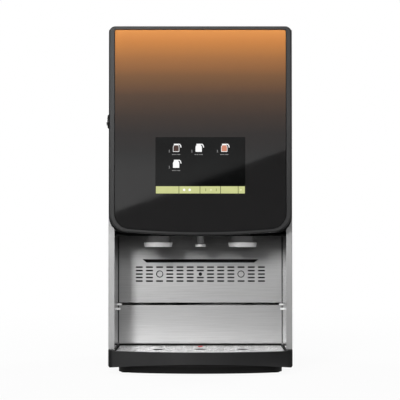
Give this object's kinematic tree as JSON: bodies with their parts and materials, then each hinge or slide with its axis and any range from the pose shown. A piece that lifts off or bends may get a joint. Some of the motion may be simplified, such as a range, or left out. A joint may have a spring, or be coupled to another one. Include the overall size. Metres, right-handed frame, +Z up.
{
  "type": "instant drink machine",
  "caption": "Counter-top instant drink machine: tall cabinet with a hinged glass-fronted touchscreen door, a steel dispensing bay with nozzles, and a slide-out drip tray.",
  "frame": {"origin": "on the ground under the middle of the machine", "axes": "+Z up, the front faces -Y, +X to the right seen from the front"},
  "size_m": [0.3435, 0.46, 0.64],
  "materials": {
    "black_moulding": "fine-grained black moulding",
    "door_moulding": "satin dark grey moulding",
    "front_glass": "back-printed glass, copper fading to black",
    "screen_glass": "dark display glass",
    "silver_panel": "satin silver grey",
    "bay_steel": "brushed",
    "grid_steel": "satin",
    "chassis_steel": "plain sheet",
    "bright_chrome": "polished",
    "white_plastic": "smooth",
    "float_red": "smooth red",
    "foot_rubber": "soft black rubber",
    "dark_plastic": "dark moulding",
    "canister_plastic": "milky translucent",
    "lid_plastic": "dark grey",
    "auger_plastic": "white",
    "motor_metal": "dark grey",
    "valve_brass": "cast and turned",
    "hose_silicone": "clear silicone",
    "board_green": "green board",
    "boiler_enamel": "black heat-proof enamel"
  },
  "bodies": {
    "cabinet": {"base_plinth": "black_moulding", "feet": "foot_rubber", "base_plate": "chassis_steel", "left_side_panel": "silver_panel", "right_side_panel": "silver_panel", "top_cover": "silver_panel", "rear_panel": "silver_panel", "inner_chassis": "chassis_steel", "bay_ceiling": "black_moulding", "bay_back_upper": "bay_steel", "bay_back_lower": "bay_steel", "bay_side_left": "bay_steel", "bay_side_right": "bay_steel", "panel_clips": "white_plastic", "door_hinges": "chassis_steel", "lock_striker": "chassis_steel", "hot_water_spout": "dark_plastic", "spout_tip": "bright_chrome", "boiler_tank": "boiler_enamel", "heating_element": "chassis_steel", "outlet_valves": "valve_brass", "water_hoses": "hose_silicone", "fan_housing": "dark_plastic", "main_board": "board_green", "inlet_valve": "valve_brass", "mains_inlet": "dark_plastic", "left_canister": "canister_plastic", "left_auger_motor": "motor_metal", "left_mixing_bowl": "canister_plastic", "left_mixer_motor": "motor_metal", "left_drink_nozzle": "dark_plastic", "left_nozzle_ring": "bright_chrome", "right_canister": "canister_plastic", "right_auger_motor": "motor_metal", "right_mixing_bowl": "canister_plastic", "right_mixer_motor": "motor_metal", "right_drink_nozzle": "dark_plastic", "right_nozzle_ring": "bright_chrome"},
    "door": {"door_frame": "door_moulding", "door_glass": "front_glass", "touchscreen": "screen_glass", "door_board": "board_green", "door_inner_cover": "black_moulding", "lock_housing": "door_moulding"},
    "lock": {"lock_barrel": "bright_chrome", "lock_cam": "chassis_steel"},
    "tray": {"drip_tray": "black_moulding"},
    "grid": {"drip_grid": "grid_steel"},
    "float": {"tray_float": "float_red"},
    "fan": {"fan_rotor": "dark_plastic"},
    "power_switch": {"power_rocker": "dark_plastic"},
    "left_lid": {"left_canister_lid": "lid_plastic"},
    "left_screw": {"left_auger": "auger_plastic"},
    "left_elbow": {"left_outlet_elbow": "lid_plastic"},
    "left_whipper": {"left_impeller": "auger_plastic"},
    "right_lid": {"right_canister_lid": "lid_plastic"},
    "right_screw": {"right_auger": "auger_plastic"},
    "right_elbow": {"right_outlet_elbow": "lid_plastic"},
    "right_whipper": {"right_impeller": "auger_plastic"}
  },
  "joints": [
    {"name": "door_swing", "type": "hinge", "parent": "cabinet", "child": "door", "pos_m": [0.159, -0.195, 0.45], "axis": [0, 0, 1], "range_deg": [0, 110]},
    {"name": "lock_turn", "type": "hinge", "parent": "door", "child": "lock", "pos_m": [-0.15, -0.199, 0.465], "axis": [-1, 0, 0], "range_deg": [0, 90]},
    {"name": "tray_slide", "type": "slide", "parent": "cabinet", "child": "tray", "axis": [0, -1, 0], "range_m": [0, 0.15]},
    {"name": "grid_lift", "type": "slide", "parent": "tray", "child": "grid", "axis": [0, 0, 1], "range_m": [0, 0.06]},
    {"name": "float_rise", "type": "slide", "parent": "tray", "child": "float", "axis": [0, 0, 1], "range_m": [0, 0.008]},
    {"name": "fan_spin", "type": "hinge", "parent": "cabinet", "child": "fan", "pos_m": [0, 0.19, 0.52], "axis": [0, 1, 0], "continuous": true},
    {"name": "switch_rock", "type": "hinge", "parent": "cabinet", "child": "power_switch", "pos_m": [-0.112, 0.207, 0.079], "axis": [1, 0, 0], "range_deg": [0, 14]},
    {"name": "left_lid_lift", "type": "slide", "parent": "cabinet", "child": "left_lid", "axis": [0, 0, 1], "range_m": [0, 0.025]},
    {"name": "left_auger_spin", "type": "hinge", "parent": "cabinet", "child": "left_screw", "pos_m": [-0.0795, 0, 0.4165], "axis": [0, 1, 0], "continuous": true},
    {"name": "left_elbow_turn", "type": "hinge", "parent": "cabinet", "child": "left_elbow", "pos_m": [-0.0795, -0.12, 0.4165], "axis": [0, 1, 0], "range_deg": [0, 180]},
    {"name": "left_impeller_spin", "type": "hinge", "parent": "cabinet", "child": "left_whipper", "pos_m": [-0.0795, -0.07, 0.3], "axis": [0, 1, 0], "continuous": true},
    {"name": "right_lid_lift", "type": "slide", "parent": "cabinet", "child": "right_lid", "axis": [0, 0, 1], "range_m": [0, 0.025]},
    {"name": "right_auger_spin", "type": "hinge", "parent": "cabinet", "child": "right_screw", "pos_m": [0.0795, 0, 0.4165], "axis": [0, 1, 0], "continuous": true},
    {"name": "right_elbow_turn", "type": "hinge", "parent": "cabinet", "child": "right_elbow", "pos_m": [0.0795, -0.12, 0.4165], "axis": [0, 1, 0], "range_deg": [0, 180]},
    {"name": "right_impeller_spin", "type": "hinge", "parent": "cabinet", "child": "right_whipper", "pos_m": [0.0795, -0.07, 0.3], "axis": [0, 1, 0], "continuous": true}
  ]
}
